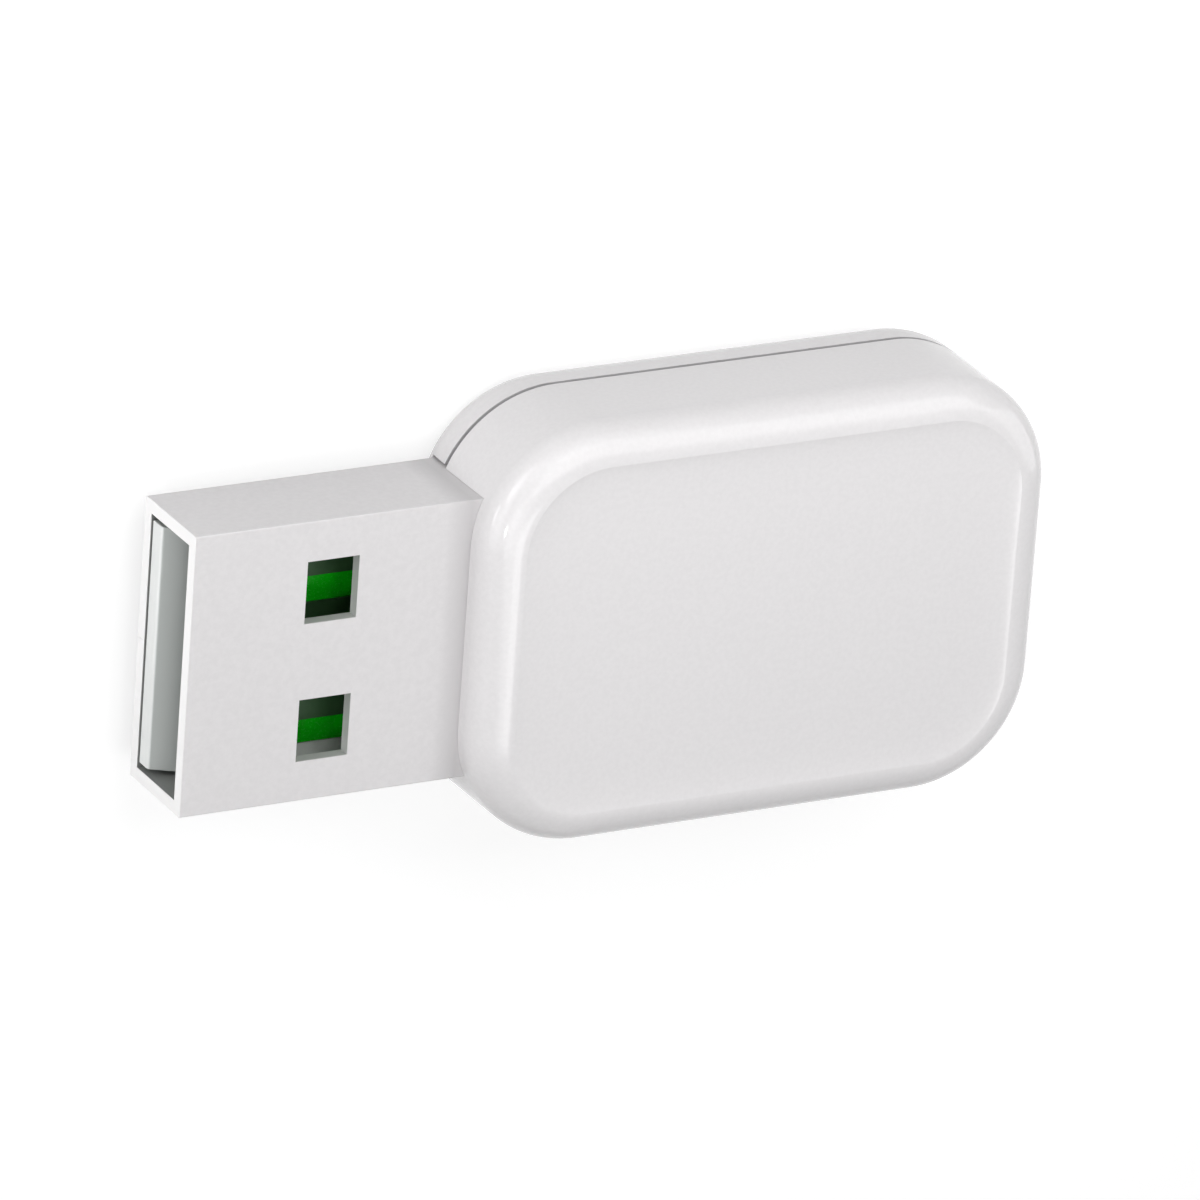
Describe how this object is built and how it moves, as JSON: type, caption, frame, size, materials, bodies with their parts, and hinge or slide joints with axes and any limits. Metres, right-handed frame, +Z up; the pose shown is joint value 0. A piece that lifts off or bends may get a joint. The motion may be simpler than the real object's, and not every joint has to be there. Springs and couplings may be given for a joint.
{
  "type": "usb radio stick",
  "caption": "Small white USB radio stick for a smart home hub: a rounded two-part plastic housing with a folded type A plug and a radio board inside.",
  "frame": {"origin": "middle of the flat back, on the surface that the stick lies on", "axes": "+X along the stick from the plug's mouth to the housing's round end, +Y across it, +Z up from the back cover to the front face"},
  "size_m": [0.0378, 0.0182, 0.0078],
  "materials": {
    "housing_plastic": "gloss",
    "cover_plastic": "gloss",
    "plug_coating": "satin",
    "carrier_plastic": "satin",
    "board_laminate": "gloss",
    "contact_plating": "satin",
    "chip_resin": "matte",
    "fuse_body": "matte",
    "chip_ceramic": "matte",
    "antenna_ceramic": "matte",
    "tinned_sheet": "satin"
  },
  "bodies": {
    "root": {"front_shell": "housing_plastic", "back_cover": "cover_plastic", "plug_shell": "plug_coating", "tongue_carrier": "carrier_plastic", "main_board": "board_laminate", "power_contact": "contact_plating", "data_minus_contact": "contact_plating", "data_plus_contact": "contact_plating", "ground_contact": "contact_plating", "surge_protector": "chip_resin", "power_fuse": "fuse_body", "ferrite_bead": "chip_ceramic", "usb_bridge_chip": "chip_resin", "bulk_capacitor": "chip_ceramic", "voltage_regulator": "chip_resin", "resistors": "chip_ceramic", "shield_can": "tinned_sheet", "bypass_capacitors": "chip_ceramic", "radio_chip": "chip_resin", "radio_crystal": "tinned_sheet", "matching_inductors": "chip_ceramic", "chip_antenna": "antenna_ceramic"}
  },
  "joints": []
}
